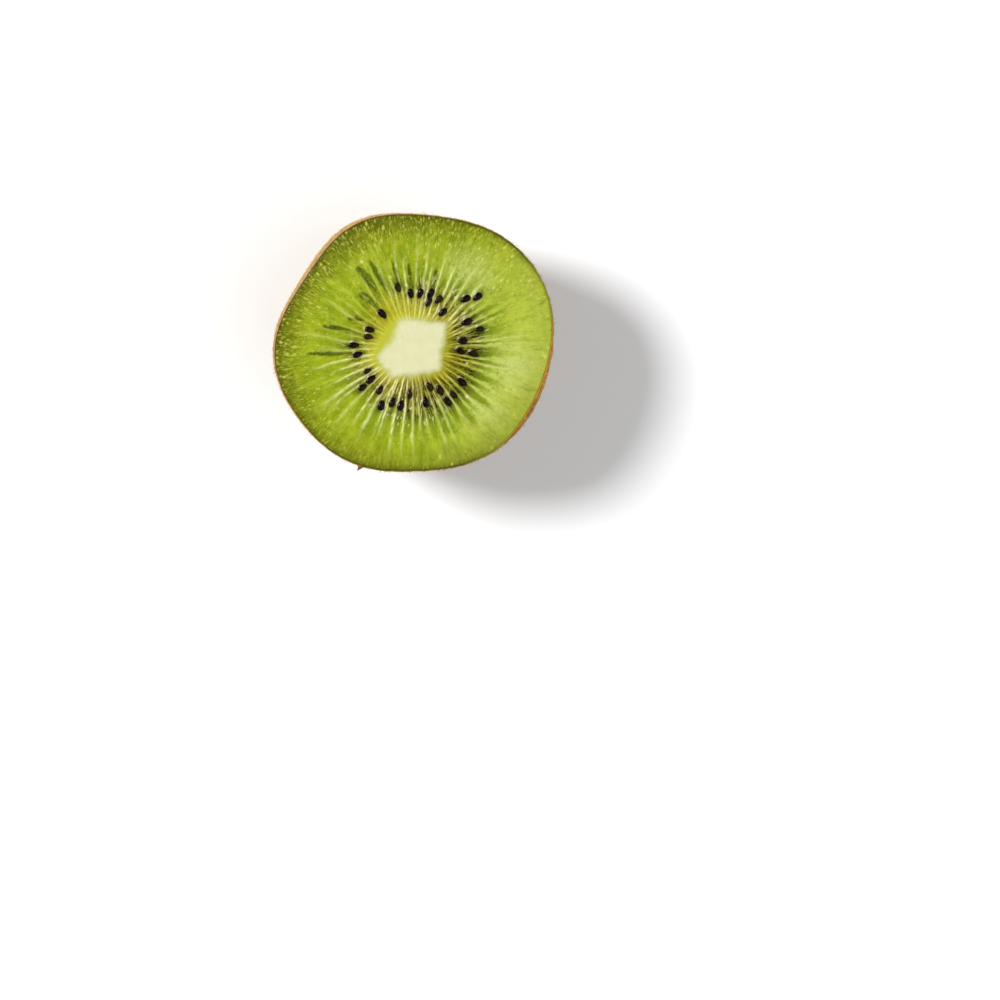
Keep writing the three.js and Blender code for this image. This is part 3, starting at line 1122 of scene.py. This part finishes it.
def lit_side(g, away=0.0, lit=1.0):
    """A value that changes from the side away from the light to the lit side, which the skin and hairs use
    for painted light and shade.
    """
    return g.ramp(g.towards(LIT_DIRECTION), -16, 20, away, lit)


def golden_rim(g):
    """1 at the far right of the rim, where the skin's edge is golden."""
    return g.ramp(g.towards(-20), 24.0, 26.5)


def olive_rim(g):
    """1 where the skin's edge is olive: all round, but for the lit side and the far right."""
    return g.math("SUBTRACT", 1.0, g.most(g.ramp(g.towards(LIT_DIRECTION), 11.5, 15.0), golden_rim(g)))


def olive_colour(g, dark):
    """The olive of the skin's edge, from a dark one on the left to a lighter green on the right."""
    return g.mix(g.ramp(g.towards(-14), 15.0, 24.0), dark, (150, 152, 46))


def skin_ground(g, grain):
    """Olive-gold skin with redder patches, mottling and specks, in painted light and shade. Gives back the
    specks.
    """
    blotches = g.noise(g.place, 0.14, 4.0, 0.6)
    mottle = g.noise(g.place, 0.9, 4.0, 0.65)
    # Lit and shaded copies of the colours: painted light on the side facing the light, painted shade with
    # more dark mottling on the other.
    base = g.mix(lit_side(g), (136, 94, 16), (176, 144, 60))
    patch = g.mix(lit_side(g), (116, 64, 15), (160, 120, 48))
    g.colour = g.mix(g.ramp(blotches, 0.4, 0.64), base, patch)
    g.coat(g.ramp(mottle, 0.42, 0.7, 0.0, lit_side(g, 0.7, 0.45)), (96, 54, 10))
    g.coat(g.ramp(grain, 0.48, 0.66, 0.0, lit_side(g, 0.6, 0.35)), (86, 54, 8))
    g.coat(g.ramp(grain, 0.45, 0.3, 0.0, 0.45), (168, 136, 50))
    spot, chance = g.cells(g.place, 1.3)
    speck = g.times(g.ramp(spot, 0.3, 0.14), g.ramp(chance, 0.4, 0.5))
    g.coat(g.times(speck, 0.8), (84, 42, 18))
    return speck


def skin_material():
    """Thin brown skin, redder towards the end, with a cut edge of its own colours and a painted light band
    below the rim on the lit side.
    """
    g = Graph("skin")
    grain = g.noise(g.place, 4.0, 3.0, 0.6)
    speck = skin_ground(g, grain)
    down, cut = g.mask("down"), g.mask("cut")
    g.coat(g.ramp(down, 0.6, 1.0, 0.0, 0.75), (108, 62, 34))
    # Painted light: a paler tan band just below the rim on the side facing the light.
    painted_lit_rim = g.times(g.ramp(down, 0.05, 0.0), g.ramp(g.towards(LIT_DIRECTION), 4, 18))
    painted_lit_rim = g.times(painted_lit_rim, g.ramp(g.noise(g.place, 2.2, 3.0, 0.6), 0.4, 0.6, 1.0, 0.3))
    g.coat(painted_lit_rim, (192, 157, 94))
    g.coat(g.times(g.ramp(down, 0.008, 0.002), olive_rim(g)), olive_colour(g, (94, 84, 18)))
    edge = g.mix(olive_rim(g), (108, 74, 4), olive_colour(g, (100, 98, 6)))
    g.coat(cut, g.mix(golden_rim(g), edge, (204, 142, 46)))
    g.set(Roughness=g.ramp(grain, 0.3, 0.7, 0.36, 0.56))
    g.set(Specular_IOR_Level=g.ramp(cut, 0.0, 1.0, 0.35, 0.08))
    g.bump(g.math("ADD", grain, g.times(speck, 0.6)), 0.08)
    return g.finish()


def hair_material():
    """Golden hairs, browner at the root and olive at the rim, in painted light and shade: paler on the lit
    side, and tan near the rim there.
    """
    g = Graph("hair")
    tone = g.mask("tone")
    # Lit and shaded copies of the hair colours: painted light on the lit side, painted shade on the other.
    dull = g.mix(lit_side(g), (193, 132, 42), (208, 166, 84))
    bright = g.mix(lit_side(g), (250, 208, 100), (242, 216, 142))
    g.colour = g.mix(g.ramp(tone, 0.0, 1.0), dull, bright)
    g.coat(g.ramp(g.mask("growth"), 0.3, 0.0, 0.0, 0.6), (128, 78, 28))
    g.coat(g.ramp(g.noise(g.place, 0.14, 4.0, 0.6), 0.4, 0.66, 0.0, 0.3), (176, 116, 48))
    height = g.vector("DOT_PRODUCT", g.place, (0, 0, 1), output="Value")
    # Painted light: paler tan near the rim on the side facing the light.
    painted_lit_rim = g.times(g.ramp(height, CUT_LEVEL - 3.5, CUT_LEVEL), g.ramp(g.towards(LIT_DIRECTION), 8, 20))
    patches = g.ramp(g.noise(g.place, 0.5, 3.0, 0.6), 0.45, 0.6)
    g.coat(g.times(painted_lit_rim, 0.6), g.mix(patches, (212, 180, 120), (174, 128, 82)))
    olive = g.times(g.ramp(height, CUT_LEVEL - 0.8, CUT_LEVEL - 0.2, 0.0, 0.8), olive_rim(g))
    g.coat(olive, olive_colour(g, (96, 86, 24)))
    g.set(Roughness=g.ramp(tone, 0.0, 1.0, 0.45, 0.3), Specular_IOR_Level=0.35)
    return g.finish()


def floor_material():
    g = Graph("floor")
    tint = g.noise(g.place, 0.01, 2.0)
    g.colour = g.mix(tint, [0.955, 0.96, 0.965, 1], [0.965, 0.97, 0.975, 1])
    g.set(Roughness=0.8)
    return g.finish()


# Studio


def make_floor():
    half = FLOOR_HALF_WIDTH
    corners = [(-half, -half, 0), (half, -half, 0), (half, half, 0), (-half, half, 0)]
    floor = new_piece("floor", corners, [[0, 1, 2, 3]])
    floor.data.materials.append(floor_material())


def direction_vector(direction, elevation):
    """A step of 1 towards a direction and an elevation over the floor."""
    turn, up = radians(direction), radians(elevation)
    return Vector((cos(turn) * cos(up), sin(turn) * cos(up), sin(up)))


def basis(first, second):
    """Axes along one direction and square to it towards another."""
    a = first.normalized()
    b = a.cross(second).normalized()
    return Matrix((a, b, a.cross(b))).transposed()


def make_camera():
    """A camera that leans from overhead as the photograph's does, with the face at its place in it."""
    to_camera = direction_vector(CAMERA_LEAN_DIRECTION, 90 - CAMERA_LEAN)
    face = Vector((*FACE_CENTRE, CUT_LEVEL)) * MM
    focal_pixels = CAMERA_DISTANCE / PHOTO_MM_PER_PIXEL
    middle = PHOTO_SIZE / 2
    sight = Vector(((PHOTO_FACE[0] - middle) / focal_pixels, (middle - PHOTO_FACE[1]) / focal_pixels, -1))
    right = Vector((1, 0, 0))
    turn = basis(-to_camera, right) @ basis(sight, right).transposed()

    data = bpy.data.cameras.new("camera")
    data.sensor_width = SENSOR_WIDTH
    data.lens = SENSOR_WIDTH * focal_pixels / PHOTO_SIZE
    data.clip_start, data.clip_end = 0.01, 50
    camera = show("camera", data)
    camera.matrix_world = Matrix.Translation(face + to_camera * CAMERA_DISTANCE * MM) @ turn.to_4x4()
    bpy.context.scene.camera = camera


def make_light(name, direction, elevation, spread, strength):
    """A soft light from far away."""
    data = bpy.data.lights.new(name, "SUN")
    data.angle = radians(spread)
    data.energy = strength
    away = direction_vector(direction, elevation)
    show(name, data).rotation_euler = away.to_track_quat("Z", "Y").to_euler()


def make_surround():
    """A pale surround, as bright as the floor at the horizon and dimmer overhead."""
    world = bpy.data.worlds.new("studio")
    world.use_nodes = True
    nodes, links = world.node_tree.nodes, world.node_tree.links
    split = nodes.new("ShaderNodeSeparateXYZ")
    links.new(nodes.new("ShaderNodeTexCoord").outputs["Generated"], split.inputs["Vector"])
    fade = nodes.new("ShaderNodeMapRange")
    fade.interpolation_type = "SMOOTHSTEP"
    for socket, value in zip(fade.inputs[1:5], (0.05, 0.75, HORIZON_GLOW, OVERHEAD_GLOW)):
        socket.default_value = value
    links.new(split.outputs["Z"], fade.inputs["Value"])
    links.new(fade.outputs["Result"], nodes["Background"].inputs["Strength"])
    nodes["Background"].inputs["Color"].default_value = (1.0, 1.0, 1.0, 1)
    bpy.context.scene.world = world


# Assembly


def finish_piece(piece, material, node=None):
    """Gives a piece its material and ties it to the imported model."""
    piece.data.materials.append(material)
    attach(piece, "root")
    if node:
        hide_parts(node)


skin_look = skin_material()
hair_look = hair_material()
finish_piece(make_flesh(), flesh_material(), "flesh")
finish_piece(make_core(), core_material(), "core")
finish_piece(make_seeds(), seed_material(), "flesh")
finish_piece(make_skin(), skin_look, "flesh")
finish_piece(make_skin_point(), skin_look, "flesh")
for number, (kind, facts) in enumerate(HAIR_KINDS.items()):
    finish_piece(make_hairs(f"hairs_{kind}", 200 + number, **facts), hair_look)

make_floor()
make_camera()
make_surround()
make_light("key", **KEY_LIGHT)
make_light("fill", **FILL_LIGHT)
bpy.context.scene.view_settings.view_transform = "Standard"
